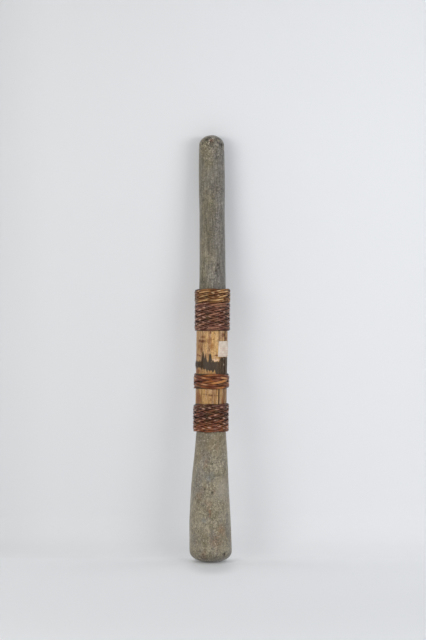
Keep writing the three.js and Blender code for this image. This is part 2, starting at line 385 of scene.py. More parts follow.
# Colours of the stone, and the heights inside the grip where the head's become the handle's
FINISH_CHANGE = (0.3, 0.36)
HEAD_TONES = rgb(134, 124, 101), rgb(162, 153, 133)
HANDLE_TONES = rgb(116, 109, 88), rgb(140, 132, 116)
HANDLE_LEFT_TONE = rgb(120, 113, 88)
HANDLE_RIGHT_TONE = rgb(120, 117, 113)
SMOOTH_AND_RIM_LIGHT_TONE = rgb(163, 154, 137)
# Painted shade and a painted warm reflection of the ring, on the neck just below it
NECK_SHADE_TONE = rgb(112, 94, 62)
CROWN_SPARKLE = rgb(228, 220, 200)
PALE_CRYSTAL_GLINT = rgb(196, 188, 168)
DARK_CRYSTAL = rgb(64, 60, 52)
CHIP_TONES = rgb(88, 76, 58), rgb(206, 194, 168)
# Dirt and painted shade low on the foot
FOOT_DIRT_AND_SHADE = rgb(86, 78, 66)
FOOT_SPECKS = rgb(66, 60, 52)
STONE_SHEEN = 0.45
SHEEN_ROUGHNESS = 0.4
# Stains on the stone: turn from the front in degrees, height, half width, half height and colour
RUST = rgb(142, 100, 72)
SOFT_RUST = rgb(138, 106, 80)
SLATE = rgb(116, 120, 122)
DUSK = rgb(97, 91, 76)
STAINS = [
    (-8, 0.47, 0.0095, 0.075, DUSK),
    (0, 0.071, 0.003, 0.009, RUST),
    (0, 0.07, 0.002, 0.006, RUST),
    (16, 0.033, 0.014, 0.016, SOFT_RUST),
    (34, 0.048, 0.009, 0.011, SOFT_RUST),
    (0, 0.591, 0.006, 0.006, RUST),
    (-17, 0.0606, 0.006, 0.006, SLATE),
    (0, 0.122, 0.012, 0.012, SLATE),
    (150, 0.08, 0.009, 0.016, RUST),
    (-140, 0.12, 0.012, 0.018, SLATE),
]
# A patch that is worn smooth and reaches to the head's right edge as painted rim light: turn from the front
# in degrees, height, half width and half height
SMOOTH_PATCH_AND_RIM_LIGHT = (46, 0.106, 0.018, 0.025)


def stone_profile():
    """(radius, height) along the stone's outline, from the middle of its foot to the top."""
    foot_angle = math.asin(FOOT_RADIUS / EDGE_RADIUS)
    t = np.linspace(foot_angle, math.pi / 2, ARC_STEPS)
    edge = np.stack([EDGE_RADIUS * np.sin(t), EDGE_HEIGHT * (1 - np.cos(t) / math.cos(foot_angle))], -1)
    z = np.linspace(EDGE_HEIGHT, GRIP_LOW, OUTLINE_STEPS)[1:]
    head = np.stack([smooth(HEAD_STATIONS, z), z], -1)
    z = np.linspace(GRIP_LOW, GRIP_HIGH, INSIDE_STEPS)[1:]
    inside = np.stack([cone_radius(z), z], -1)
    z = np.linspace(GRIP_HIGH, TOP - DOME_HEIGHT, OUTLINE_STEPS)[1:]
    handle = np.stack([smooth(HANDLE_STATIONS, z), z], -1)
    t = np.linspace(0, math.pi / 2, ARC_STEPS)[1:]
    dome = np.stack([DOME_RADIUS * np.cos(t), TOP - DOME_HEIGHT * (1 - np.sin(t))], -1)
    return np.concatenate([[(0, 0)], edge, head, inside, handle, dome])


def stone_rows():
    """The outline in even steps, longer where the grip hides the stone, and its outward direction."""
    outline = stone_profile()
    run = distance_along(outline)
    z = outline[:, 1]
    hidden = (z > GRIP_LOW + HIDDEN_MARGIN) & (z < GRIP_HIGH - HIDDEN_MARGIN)
    density = np.where(hidden, 1 / HIDDEN_ROW, 1 / STONE_ROW)
    count = np.concatenate([[0], np.cumsum(np.diff(run) * (density[1:] + density[:-1]) / 2)])
    stops = np.interp(np.linspace(0, count[-1], round(count[-1]) + 1), count, run)
    rows = np.stack([np.interp(stops, run, outline[:, k]) for k in (0, 1)], -1)
    ahead = np.gradient(rows, axis=0)
    ahead /= np.linalg.norm(ahead, axis=1, keepdims=True)
    outward = np.stack([ahead[:, 1], -ahead[:, 0]], -1)
    return rows[1:-1], outward[1:-1]


def stone_pits(angle, z, radius):
    """Depth of the single pits: the listed ones and random small ones."""
    rng = np.random.default_rng(PIT_SEED)
    pits = list(PITS)
    for _ in range(RANDOM_PITS):
        size = rng.uniform(*PIT_RADII)
        turn = rng.uniform(-180, 180)
        height = rng.uniform(PIT_LOWEST, TOP)
        pits.append((turn, height, size, size * rng.uniform(*PIT_DEPTHS)))
    depth = np.zeros_like(z)
    for turn, height, size, deep in pits:
        across = turned(angle, turn) * radius
        away = np.hypot(across, (z - height) * PIT_STRETCH) / size
        depth = np.maximum(depth, deep * np.exp(-PIT_SHARPNESS * away ** 2))
    return depth


def stone_relief(angle, z, radius, still):
    """How far the surface stands out, and where it is pitted, pecked and chipped."""
    crown = ease(*CROWN_BEGINS, z)
    sole = 1 - ease(*SOLE_ENDS, z)
    peck = dimples_at(still * (1, 1, PIT_STRETCH), PECK_SCALE)
    battered = ease(-0.25, 0.55, noise_at(still, *BATTERED_NOISE))
    chips = ease(0.08, 0.4, noise_at(still, *CHIP_NOISE)) * (0.45 * crown + 0.55 * sole)
    pits = stone_pits(angle, z, np.maximum(radius, LEAST_RADIUS))
    height = sum(depth * noise_at(still, scale, seed) for depth, scale, seed in WAVES)
    height -= PECK_DEPTH * peck * (0.35 + battered * (0.65 + 0.7 * crown))
    height -= CHIP_DEPTH * chips + pits
    height += FOOT_SWELLING * hump(*FOOT_PLACE, z)
    neck = ease(*NECK_START, z) * (1 - ease(*NECK_END, z))
    height += NECK_SWELLING * neck * np.clip(np.cos(angle), 0, 1)
    below_grip = 1 - ease(GRIP_LOW - GRIP_FADE, GRIP_LOW + GRIP_FADE, z)
    above_grip = ease(GRIP_HIGH - GRIP_FADE, GRIP_HIGH + GRIP_FADE, z)
    height *= (below_grip + above_grip) * ease(*FLAT_ENDS, z)
    return height, {"pit": np.clip(pits / DARK_PIT_DEPTH, 0, 1), "peck": peck * battered, "chip": chips}


def make_stone():
    """Rows of points round the axis, closed by a fan of triangles at the foot and the top."""
    rows, outward = stone_rows()
    angle = np.linspace(-math.pi, math.pi, STONE_COLUMNS, endpoint=False)[None, :]
    z = rows[:, 1:] + 0 * angle
    radius = rows[:, :1] + 0 * angle
    still = on_axis(radius, angle, z)
    height, values = stone_relief(angle, z, radius, still)
    side = outward[:, :1]
    normal = np.stack([side * np.cos(angle), side * np.sin(angle), outward[:, 1:] + 0 * angle], -1)
    points = still + height[..., None] * normal

    count = points.shape[0] * STONE_COLUMNS
    last = count - STONE_COLUMNS
    faces = grid_faces(len(rows), STONE_COLUMNS, True)
    for c in range(STONE_COLUMNS):
        beside = (c + 1) % STONE_COLUMNS
        faces.append((count, beside, c))
        faces.append((count + 1, last + c, last + beside))
    ends = [(drift(0.0), 0, 0), (drift(TOP), 0, TOP)]
    values = {key: np.append(value.ravel(), [0, 0]) for key, value in values.items()}
    piece = make_mesh("pestle_stone", np.concatenate([points.reshape(-1, 3), ends]), faces, values)
    dress(piece, "stone", stone_material())


def by_end(s, place, head, handle):
    """One value on the head and another on the handle."""
    return s.fit(s.part(place, Z), *FINISH_CHANGE, head, handle)


def stone_spot(s, place, turn, height, wide, tall):
    """1 at a place on the stone, fading to 0 over its half width and half height."""
    radius = smooth(HEAD_STATIONS if height < GRIP_LOW else HANDLE_STATIONS, height)
    return s.spot(place, on_axis(radius, from_front(turn), height), (wide, wide, tall))


def stone_ground(s, place, mottle):
    """The stone's own colours, in soft patches, and its stains."""
    aside = s.part(place, X)
    patch = s.fit(s.noise(place, 36, 5, 0.6), 0.3, 0.7)
    cool = s.noise(place, 44, 4, 0.55, (1, 1, 0.5), (3, 1, 2))
    rust = s.noise(place, 62, 5, 0.65, (1, 1, 0.8), (7, 5, 1))
    handle_share = by_end(s, place, 0.0, 1.0)
    s.base = s.mix(handle_share, s.mix(patch, *HEAD_TONES), s.mix(patch, *HANDLE_TONES))
    s.tint(HANDLE_RIGHT_TONE, s.fit(aside, -0.002, 0.019, 0, 0.75), handle_share)
    s.tint(rgb(130, 125, 119), s.fit(cool, 0.46, 0.62, 0, 0.6))
    s.tint(rgb(142, 120, 99), s.fit(rust, 0.52, 0.68, 0, 0.6), by_end(s, place, 1.0, 0.5))
    s.tint(HANDLE_LEFT_TONE, s.fit(aside, 0.004, -0.012, 0, 0.35), handle_share)
    blotchy = s.fit(mottle, 0.35, 0.6, 0.2, 0.55)
    for *place_and_size, colour in STAINS:
        s.tint(colour, stone_spot(s, place, *place_and_size), blotchy)


def stone_grain(s, place, mottle, fleck):
    """Streaks, mottling, a grain that is coarse in places, and the smooth patch, which is also painted rim
    light.
    """
    streak = s.noise(place, 420, 3, 0.6, (1, 1, 0.12), (1, 4, 0))
    s.base = s.shade(s.base, streak, 0.3, 0.7, by_end(s, place, 0.8, 0.66), by_end(s, place, 1.1, 1.22))
    s.base = s.shade(s.base, mottle, 0.34, 0.66, 0.74, 1.12)
    grainy = s.fit(s.noise(place, 42, 3, 0.5, (1, 1, 0.6), (2, 8, 4)), 0.4, 0.6)
    fine = s.shade(s.base, fleck, 0.32, 0.68, 0.76, 1.15)
    coarse = s.shade(s.base, fleck, 0.32, 0.68, 0.5, 1.34)
    s.base = s.mix(grainy, fine, coarse)
    # Worn smooth patch, also painted rim light at the head's right edge
    s.tint(SMOOTH_AND_RIM_LIGHT_TONE, stone_spot(s, place, *SMOOTH_PATCH_AND_RIM_LIGHT), 0.62)


def stone_wear(s, place, mottle, fleck, crystal):
    """Crown, painted shade below the ring, crystals and painted glints, pecking and pits with painted shade,
    chips, and dirt with painted shade at the foot.
    """
    up = s.part(place, Z)
    crown = s.fit(up, 0.56, 0.59)
    s.tint(s.shade(s.base, mottle, 0.42, 0.63, 0.4, 1.32), crown, 0.68)
    # Pale crystals on the crown tinted as sparkle, a painted glint
    s.tint(CROWN_SPARKLE, s.fit(crystal, 0.9, 0.97, 0, 0.4), crown, 0.8)
    # Painted shade, with a painted warm reflection of the ring, just below the lower ring
    s.tint(NECK_SHADE_TONE, s.fit(up, 0.138, 0.166, 0, 0.36), s.fit(up, 0.3, 0.28))
    # Pale crystals, partly painted glints, mostly on the head
    s.tint(PALE_CRYSTAL_GLINT, s.fit(crystal, 0.9, 0.98, 0, 0.45), by_end(s, place, 1.0, 0.35))
    s.tint(DARK_CRYSTAL, s.fit(crystal, 0.1, 0.02, 0, 0.5))
    # Painted shade in the hollows of the pecking, where it is battered
    s.tint(rgb(84, 78, 66), s.value("peck"), 0.28)
    s.tint(s.mix(s.fit(fleck, 0.4, 0.6), *CHIP_TONES), s.value("chip"), 1.1)
    # Painted shade in the pits, darker the deeper they are
    s.tint(rgb(56, 50, 42), s.value("pit"), 0.85)
    # Dirt and painted shade darken the lowest part of the foot
    s.tint(FOOT_DIRT_AND_SHADE, s.fit(up, 0.018, 0.007, 0, 0.6), s.fit(mottle, 0.42, 0.6))
    s.tint(FOOT_SPECKS, s.fit(up, 0.021, 0.01), s.fit(fleck, 0.5, 0.42, 0, 0.6))
    # A thin dark line at the sole: painted shade and dirt
    s.tint(rgb(92, 90, 84), s.fit(up, 0.0045, 0.0015, 0, 0.6))


def stone_material():
    s = Surface("pecked_stone")
    place = s.place()
    mottle = s.noise(place, 210, 4, 0.65)
    fleck = s.noise(place, 680, 4, 0.7, (1, 1, 0.7))
    crystal = s.part(s.cells(place, 800), X)
    stone_ground(s, place, mottle)
    stone_grain(s, place, mottle, fleck)
    stone_wear(s, place, mottle, fleck, crystal)
    s.set(Base_Color=s.base, Roughness=s.fit(fleck, 0.2, 0.8, 0.78, 0.95), Specular_IOR_Level=0.3)
    s.set(Sheen_Weight=STONE_SHEEN, Sheen_Roughness=SHEEN_ROUGHNESS)
    fine = s.bump(s.noise(place, 1500, 3, 0.7), 0.00025, 0.6)
    s.set(Normal=s.bump(crystal, 0.00012, 0.5, fine))
    return s.material


# Bamboo splints

SPLINT_COLUMN = 0.0006
SPLINT_ROW = 0.0013
SPLINT_BACK_COLUMNS = 8
SPLINT_SEED = 20
SPLINT_ARRIS = 0.0003
SPLINT_FLATNESS = 0.08
EDGE_STRAY = 0.00012
END_BEVEL = 0.0005
END_BEVEL_HEIGHT = 0.0012
FIBRE_RELIEF = 0.00004
RIPPLE_RELIEF = 0.00007
# The swelling at a node, the groove in it as a share of its height, and its scar
NODE_WIDTH = 0.0042
GROOVE_DEPTH = 0.25
GROOVE_WIDTH = 0.0007
SCAR_WIDTH = 0.0006
# Distances from a splint's edge between which its dark rim fades
RIM_FADE = (0.0001, 0.001)
# Shares of the grip's height between which the seams change and the grey gives way
SEAM_CHANGE = (0.22, 0.45)
GREY_CHANGE = (0.4, 0.55)
GREY_LOSS = 0.65
# Seams: turn from the front in degrees, then width and darkness at the lower and the upper end
SEAMS = [
    (-38, (0.0003, 0.0003), (0.15, 0.3)),
    (29, (0.0007, 0.0003), (0.85, 0.2)),
    (54, (0.0004, 0.0011), (0.35, 1.0)),
    (122, (0.0005, 0.0004), (0.6, 0.6)),
    (196, (0.0003, 0.0007), (0.5, 0.7)),
    (262, (0.0006, 0.0004), (0.6, 0.5)),
]
# Each splint's own node of the bamboo: height, swelling and slant
SPLINT_NODES = [
    (0.235, 0.00016, -0.1),
    (0.352, 0.0002, 0.05),
    (0.302, 0.0001, 0.03),
    (0.266, 0.0006, 0.04),
    (0.305, 0.0005, -0.05),
    (0.2772, 0.0012, 0.02),
]
# How grey each splint has gone
SPLINT_GREY = [0.05, 0.6, 0.9, 0.35, 0.2, 0.15]

# Colours of the bamboo
BAMBOO_TONES = rgb(122, 76, 28), rgb(200, 153, 84)
UPPER_TONE = rgb(220, 182, 132)
RING_SHADE = rgb(44, 26, 16)
BAMBOO_GLOSS_TINT = (1.0, 0.84, 0.66, 1.0)
# How far a ring's painted shade and contact dirt reach beyond its edge and start inside it
RING_SHADE_REACH = 0.0012
RING_SHADE_START = 0.0004
# Marks on the bamboo: turn from the front in degrees, height, half width, half height and colour
RUDDY = rgb(96, 46, 26)
TAN = rgb(126, 78, 46)
UMBER = rgb(152, 104, 58)
PAINTED_HIGHLIGHT_PINK = rgb(218, 184, 154)
BARE = rgb(228, 206, 182)
BAMBOO_MARKS = [
    (-36, 0.316, 0.0062, 0.0028, TAN),
    (-37, 0.31, 0.0078, 0.0036, RUDDY),
    (-52, 0.3106, 0.0044, 0.0028, RUDDY),
    (-43, 0.2985, 0.0018, 0.0065, RUDDY),
    (-6, 0.3222, 0.002, 0.0036, RUDDY),
    (6, 0.3128, 0.002, 0.0016, TAN),
    (0, 0.303, 0.005, 0.0075, UMBER),
    (45, 0.3185, 0.006, 0.0045, RUDDY),
    (62, 0.3135, 0.0045, 0.0045, RUDDY),
    (-66, 0.2905, 0.006, 0.003, TAN),
    # A painted highlight: a pale pink patch just above the dark band
    (15, 0.2838, 0.0084, 0.0028, PAINTED_HIGHLIGHT_PINK),
    (-51, 0.2895, 0.0034, 0.0024, RUDDY),
    (17, 0.2902, 0.0045, 0.0016, RUDDY),
    (-2, 0.2343, 0.0045, 0.0018, RUDDY),
    (-60, 0.268, 0.009, 0.005, TAN),
    (-55, 0.23, 0.01, 0.014, TAN),
    (48, 0.225, 0.004, 0.012, TAN),
    (150, 0.31, 0.008, 0.01, RUDDY),
    (-130, 0.23, 0.006, 0.01, TAN),
]
# Chips in the dark band, in the same order of values
BAND_CHIPS = [(52, 0.2852, 0.0014, 0.002, BARE), (51, 0.2772, 0.0014, 0.0022, BARE)]
# Edges of the dark band: the distances aside between which they step, and the heights before and after
BAND_TOP = (0.0128, 0.015, 0.2818, 0.288)
BAND_TOP_LEFT = (-0.008, -0.014, 0.0, 0.0006)
BAND_LOW = (-0.008, -0.004, 0.2714, 0.2682)
BAND_LOW_RIGHT = (0.006, 0.01, 0.0, -0.006)
BAND_SOFTNESS = (-0.0004, 0.0012)
# Tongues of the dark band above its upper edge: distance aside, half width and height
BAND_TONGUES = [
    (-0.0097, 0.003, 0.015),
    (-0.0062, 0.0026, 0.0128),
    (0.0004, 0.0036, 0.0112),
    (-0.015, 0.0012, 0.004),
]
INK_TONES = rgb(34, 25, 17), rgb(66, 52, 40)
INK_MIDDLE_TONE = rgb(50, 47, 46)
INK_RIGHT_TONE = rgb(92, 74, 58)


def between(ends, share):
    """From the lower to the upper value, changing most near the middle of the grip."""
    return ends[0] + (ends[1] - ends[0]) * ease(*SEAM_CHANGE, share)


def splint_edges(number, z, seed):
    turn, width, _ = SEAMS[number - 1]
    next_turn, next_width, _ = SEAMS[number % len(SEAMS)]
    next_turn += 360 if next_turn < turn else 0
    share = grip_share(z)
    outer = grip_radius(z)
    line = np.concatenate([z, 0 * z, 0 * z], 1)
    stray = [EDGE_STRAY * noise_at(line, 60, seed[k])[:, None] for k in (0, 1)]
    left = from_front(turn) + (between(width, share) / 2 + stray[0]) / outer
    right = from_front(next_turn) - (between(next_width, share) / 2 + stray[1]) / outer
    return left, right


def splint_relief(angle, z, middle, near_edge, seed):
    """How far a splint's face stands out from the grip, apart from its node."""
    outer = grip_radius(z)
    off_edge = 1 - np.clip(near_edge / SPLINT_ARRIS, 0, 1)
    arris = SPLINT_ARRIS * (1 - np.sqrt(1 - off_edge ** 2))
    bow = 1 / np.cos(angle - middle)
    flat = SPLINT_FLATNESS * outer * (bow - bow.max())
    still = on_axis(outer, angle, z)
    fibre = noise_at(still * (1, 1, 0.02), 520, seed[2])
    ripple = noise_at(still * (1, 1, 0.25), 110, seed[3]) - 0.6
    from_end = np.minimum(z - GRIP_LOW, GRIP_HIGH - z)
    bevel = END_BEVEL * (1 - ease(0, END_BEVEL_HEIGHT, from_end))
    return flat - arris - bevel + FIBRE_RELIEF * fibre + RIPPLE_RELIEF * ripple


def make_splint(number, material):
    """Rows of points over the face of a splint and back along its inside, with capped ends."""
    rows = round((GRIP_HIGH - GRIP_LOW) / SPLINT_ROW)
    z = np.linspace(GRIP_LOW, GRIP_HIGH, rows)[:, None]
    outer = grip_radius(z)
    seed = np.random.default_rng(SPLINT_SEED + number).uniform(0, 50, 4)
    left, right = splint_edges(number, z, seed)
    columns = round(float((right - left).mean()) * LIE_RADIUS / SPLINT_COLUMN)
    even = np.linspace(0, 1, columns)[None, :]
    across = (even + (1 - np.cos(math.pi * even)) / 2) / 2
    angle = left + (right - left) * across
    from_left = across * (right - left) * outer
    from_right = (1 - across) * (right - left) * outer
    node_z, swelling, slant = SPLINT_NODES[number - 1]
    from_node = z - node_z - slant * (from_left - from_right) / 2
    node = swelling * (hump(0, NODE_WIDTH, from_node) - GROOVE_DEPTH * hump(0, GROOVE_WIDTH, from_node))
    relief = splint_relief(angle, z, (left + right) / 2, np.minimum(from_left, from_right), seed)
    face = on_axis(outer + relief + node, angle, z)

    back_angle = right + (left - right) * np.linspace(0, 1, SPLINT_BACK_COLUMNS)[None, :]
    back = on_axis(cone_radius(z) + SPLINT_SEAT, back_angle, z)
    around = np.concatenate([face, back], 1)
    lie_across = np.concatenate([angle, back_angle], 1) * LIE_RADIUS
    uv = np.stack([lie_across, z + 0 * lie_across], -1).reshape(-1, 2)
    hidden = np.ones_like(back_angle)
    share = grip_share(z)
    left_rim = between(SEAMS[number - 1][2], share) * (1 - ease(*RIM_FADE, from_left))
    right_rim = between(SEAMS[number % len(SEAMS)][2], share) * (1 - ease(*RIM_FADE, from_right))
    greyed = SPLINT_GREY[number - 1] * (1 - GREY_LOSS * ease(*GREY_CHANGE, share))
    values = {
        "rim": np.concatenate([np.maximum(left_rim, right_rim), hidden], 1),
        "scar": np.concatenate([hump(0, SCAR_WIDTH, from_node), 0 * hidden], 1),
        "grey": greyed + 0 * lie_across,
    }
    faces = tube_faces(rows, columns + SPLINT_BACK_COLUMNS)
    piece = make_mesh(f"splint_{number}", around.reshape(-1, 3), faces, values, uv)
    dress(piece, f"bamboo_splint_{number}", material)


def bamboo_ground(s, place, lie, fibre, streak, smear):
    """Weathered bamboo with streaks, pale fibres, smears, dirt and cracks."""
    cloud = s.noise(lie, 95, 4, 0.6, (1, 0.5, 1), (0, 5, 0))
    dirt = s.noise(lie, 620, 4, 0.7, (1, 0.7, 1), (4, 6, 0))
    crack = s.noise(lie, 820, 2, 0.5, (1, 0.012, 1), (7, 0, 0))
    s.base = s.mix(s.fit(streak, 0.32, 0.66), *BAMBOO_TONES)
    s.tint(rgb(232, 209, 200), s.fit(fibre, 0.47, 0.74, 0, 0.7))
    s.tint(UPPER_TONE, s.fit(s.part(place, Z), 0.262, 0.292, 0.1, 0.28))
    s.tint(rgb(128, 101, 78), s.value("grey"), s.fit(cloud, 0.3, 0.7, 0.5, 1.0))
    s.tint(rgb(142, 88, 44), s.fit(cloud, 0.5, 0.7, 0, 0.75))
    s.tint(rgb(98, 48, 26), s.fit(smear, 0.56, 0.7, 0, 0.85))
    s.base = s.shade(s.base, dirt, 0.3, 0.62, 0.54, 1.06)
    s.tint(rgb(84, 54, 36), s.fit(crack, 0.64, 0.74, 0, 0.75))


def bamboo_marks(s, place, marks, strength):
    """Listed spots of other colours on the splints."""
    for turn, height, wide, tall, colour in marks:
        middle = on_axis(grip_radius(height), from_front(turn), height)
        s.tint(colour, s.spot(place, middle, (wide, wide, tall)), strength, 0.95)


def dark_band(s, place, lie):
    """A dark resinous stain round the splints, drawn out along their fibres."""
    aside = s.part(place, X)
    up = s.part(place, Z)
    comb = s.noise(lie, 640, 2, 0.5, (1, 0.03, 1), (1, 0, 0))
    soot = s.noise(lie, 420, 4, 0.65, (1, 0.4, 1), (6, 0, 0))
    ragged = s.math("ADD", aside, s.fit(comb, 0.3, 0.7, -0.0008, 0.0008))
    spikes = 0.0
    for middle, wide, tall in BAND_TONGUES:
        away = s.math("ABSOLUTE", s.math("SUBTRACT", ragged, middle))
        spikes = s.math("MAXIMUM", spikes, s.fit(away, wide, 0.0, 0.0, tall))
    top = s.math("ADD", s.fit(aside, *BAND_TOP), s.fit(comb, 0.45, 0.7, -0.0004, 0.0022))
    top = s.math("ADD", top, s.fit(aside, *BAND_TOP_LEFT))
    top = s.math("ADD", top, spikes)
    low = s.math("ADD", s.fit(aside, *BAND_LOW), s.fit(aside, *BAND_LOW_RIGHT))
    low = s.math("ADD", low, s.fit(comb, 0.35, 0.65, 0.0016, -0.0022))
    below_top = s.fit(s.math("SUBTRACT", top, up), *BAND_SOFTNESS)
    above_low = s.fit(s.math("SUBTRACT", up, low), *BAND_SOFTNESS)
    ink = s.mix(s.fit(soot, 0.3, 0.7), *INK_TONES)
    ink = s.mix(s.fit(s.math("ABSOLUTE", aside), 0.012, 0.004, 0, 0.6), ink, INK_MIDDLE_TONE)
    right = s.math("MULTIPLY", s.fit(aside, 0.007, 0.012, 0, 0.45), s.fit(comb, 0.4, 0.6))
    ink = s.mix(right, ink, INK_RIGHT_TONE)
    s.tint(ink, below_top, above_low, s.fit(soot, 0.75, 0.6, 0.6, 0.97))


def ring_shades(s, place):
    # Painted shade, with some contact dirt, on the bamboo next to each ring's edges
    up = s.part(place, Z)
    for ring in RINGS:
        low, high = heights(ring.node)
        below_top = s.fit(up, high + RING_SHADE_REACH, high - RING_SHADE_START)
        above_low = s.fit(up, low - RING_SHADE_REACH, low + RING_SHADE_START)
        s.tint(RING_SHADE, below_top, above_low, 0.9)


def bamboo_material():
    s = Surface("weathered_bamboo")
    lie = s.lie()
    place = s.place()
    fibre = s.noise(lie, 1500, 3, 0.6, (1, 0.02, 1))
    streak = s.noise(lie, 300, 3, 0.55, (1, 0.05, 1), (3, 0, 0))
    smear = s.noise(lie, 190, 5, 0.7, (1, 0.4, 1), (9, 2, 0))
    broken = s.fit(s.noise(lie, 420, 3, 0.6, (0.7, 2.0, 1), (2, 2, 0)), 0.32, 0.46)
    bamboo_ground(s, place, lie, fibre, streak, smear)
    bamboo_marks(s, place, BAMBOO_MARKS, broken)
    s.tint(rgb(74, 46, 30), s.value("scar"), s.fit(smear, 0.4, 0.55, 0.1, 0.8))
    dark_band(s, place, lie)
    bamboo_marks(s, place, BAND_CHIPS, 0.8)
    s.tint(rgb(52, 30, 18), s.value("rim"), 0.9)
    ring_shades(s, place)
    s.set(Base_Color=s.base, Roughness=s.fit(streak, 0.2, 0.8, 0.42, 0.62))
    s.set(Specular_IOR_Level=0.32, Specular_Tint=BAMBOO_GLOSS_TINT)
    s.set(Normal=s.bump(fibre, 0.0001, 0.55))
    return s.material


# Cane rings

# From the top down. A ring goes round leads times and turns back at each edge bights times
RING_FIELDS = "node slot cane leads bights hand thickness steps seed start_turn trim sag"
Ring = namedtuple("Ring", RING_FIELDS, defaults=(0.0, 0.0))
RINGS = [
    Ring("cane_ring_top_narrow", "golden_cane", "golden_cane", 6, 5, 1, 0.00135, 20, 1, 210, 0.0011, 0.0016),
    Ring("cane_ring_upper_wide", "dark_cane", "ruddy_cane", 12, 5, 1, 0.0012, 16, 2, 197),
    Ring("cane_ring_middle_narrow", "golden_cane", "amber_cane", 4, 3, -1, 0.0013, 32, 3, 255),
    Ring("cane_ring_lower_wide", "dark_cane", "brown_cane", 12, 5, 1, 0.00135, 16, 4, 201, 0.0, 0.003),
]
# Colours of the canes: pale, full, deep, and the pale tone of rubbed crowns, which is also a painted glint
CANES = {
    "golden_cane": (rgb(186, 143, 94), rgb(131, 84, 45), rgb(84, 42, 14), rgb(212, 178, 136)),
    "ruddy_cane": (rgb(144, 98, 76), rgb(102, 63, 49), rgb(64, 36, 29), rgb(190, 148, 128)),
    "amber_cane": (rgb(182, 122, 70), rgb(137, 74, 35), rgb(94, 40, 20), rgb(198, 146, 102)),
    "brown_cane": (rgb(118, 71, 50), rgb(80, 45, 31), rgb(52, 29, 22), rgb(200, 158, 138)),
}
# Tinges of two of them: axis, where the tinge starts and is full, and its colour
CANE_TINGES = {
    "amber_cane": (X, -0.004, -0.017, rgb(98, 50, 38)),
    "brown_cane": (Z, 0.206, 0.186, rgb(134, 74, 38)),
}
CANE_ROUGHNESS = (0.12, 0.26)
AMBER_ROUGHNESS = (0.22, 0.36)
CANE_SIDES = 12
CANE_SQUARENESS = 0.85
CANE_FLATNESS = 0.8
RING_SPREAD = 0.0006
SIDE_GAP = 0.00018
CROSSING_GAP = 0.00012
RING_SEAT = 0.00004
END_GAP = 0.06
BIGHT_ROUNDNESS = 0.88
LEANING = 3.5
ROLL = 0.38
EDGE_RISE = 0.0002
# Where the upper edge of a ring sags: turn from the front in degrees, and width in radians
SAG_TURN = -88
SAG_WIDTH = 0.62
# Step along the noise from one crossing to the next, and how far a cane strays, the last two as shares
WALK_STEP = 0.31
HEIGHT_STRAY = 0.00026
LIFT_STRAY = 0.0002
ROLL_STRAY = 0.12
WIDTH_STRAY = 0.07
CROSSING_STRAY = 0.08
# How much paler one direction of a plait is painted than the other, as painted light on the strands that
# catch the lamps
LEAN_TONE = 0.24
OLIVE_TINGE = rgb(84, 64, 36)
MAROON_TINGE = rgb(92, 50, 48)
CANE_SHADOW = (0.4, 0.25, 0.15, 1.0)
CANE_GLOSS_TINT = (1.0, 0.8, 0.64, 1.0)


def crossings_passed(n, leads):
    """How many crossings lie behind, with the turn at an edge half-way between two of them."""
    leg = np.floor(n / leads)
    along = n - leg * leads
    before = (leg - 1) * (leads - 1)
    first = before - 0.5 + along / 2
    last = before + leads - 2 + (along - leads + 1) / 2
    return np.where(along < 1, first, np.where(along > leads - 1, last, before + along - 1))


def plait_sizes(height, leads, bights):
    """How far a pair of canes swings up and down in a ring, and how far apart they lie."""
    swing = height
    pitch = 0.0
    for _ in range(6):
        slope = math.atan(swing / leads / (LIE_RADIUS * math.pi / bights))
        pitch = swing / leads * math.cos(slope)
        swing = height - 2 * pitch + SIDE_GAP
    return swing, pitch


def unit(vectors):
    return vectors / np.linalg.norm(vectors, axis=1, keepdims=True)


def cane_line(ring, side):
    """The line between a ring's two canes, lifted as one of the two goes over and under."""
    low, high = heights(ring.node)
    high -= ring.trim
    swing, pitch = plait_sizes(high - low + 2 * RING_SPREAD, ring.leads, ring.bights)
    crossings = 2 * ring.leads * ring.bights
    gone = np.linspace(END_GAP, crossings - END_GAP, crossings * ring.steps)
    n = ring.leads + gone
    walk = np.stack([gone * WALK_STEP + ring.seed, 0 * gone + side, 0 * gone], -1)
    angle = from_front(ring.start_turn) + ring.hand * gone * math.pi / ring.bights
    wave = np.arcsin(BIGHT_ROUNDNESS * np.cos(math.pi * n / ring.leads)) / math.asin(BIGHT_ROUNDNESS)
    z = (low + high) / 2 + swing / 2 * wave + HEIGHT_STRAY * noise_at(walk, 1.1, 8)
    z -= ring.sag * hump(0, SAG_WIDTH, turned(angle, SAG_TURN)) * np.clip(wave, 0, 1) ** 2
    leaning = np.clip(-LEANING * np.sin(math.pi * n / ring.leads), -1, 1)
    passed = crossings_passed(n, ring.leads) + 0.25 * side * ring.hand * leaning
    over = np.clip(np.cos(math.pi * passed) / math.cos(math.pi / 4), -1, 1)
    over = np.sin(over * math.pi / 2)
    lift = (ring.thickness + CROSSING_GAP) / 2 * (1 + over) * (1 + CROSSING_STRAY * noise_at(walk, 1.7))
    lift += LIFT_STRAY * (1 + noise_at(walk, 0.9, 4)) + EDGE_RISE * np.abs(wave) ** 8
    path = on_axis(grip_radius(z) + RING_SEAT + ring.thickness / 2 + lift, angle, z)
    return path, angle, walk, ring.hand * leaning, passed, over, pitch


def cane_values(walk, leaning, passed, over, across, upper):
    """Lift, tone, nearness to an edge, and rubbed wear with painted glints, at each point of a cane."""
    shown = np.clip(np.cos(math.pi * passed), 0, 1) ** 4
    crown = shown * np.clip(0.45 + 1.2 * noise_at(walk, 5.3, 16), 0, 1)
    # Painted light: the strands that lean one way are made paler than the others
    tone = noise_at(walk, 0.55, 30) * 0.9 + 0.5 - LEAN_TONE * leaning
    return {
        "lift": np.repeat((1 + over) / 2, CANE_SIDES),
        "tone": np.repeat(tone, CANE_SIDES),
        "edge": np.tile(np.abs(across), len(tone)),
        "crown": np.repeat(crown, CANE_SIDES) * np.tile(np.clip(upper, 0, 1), len(tone)),
    }


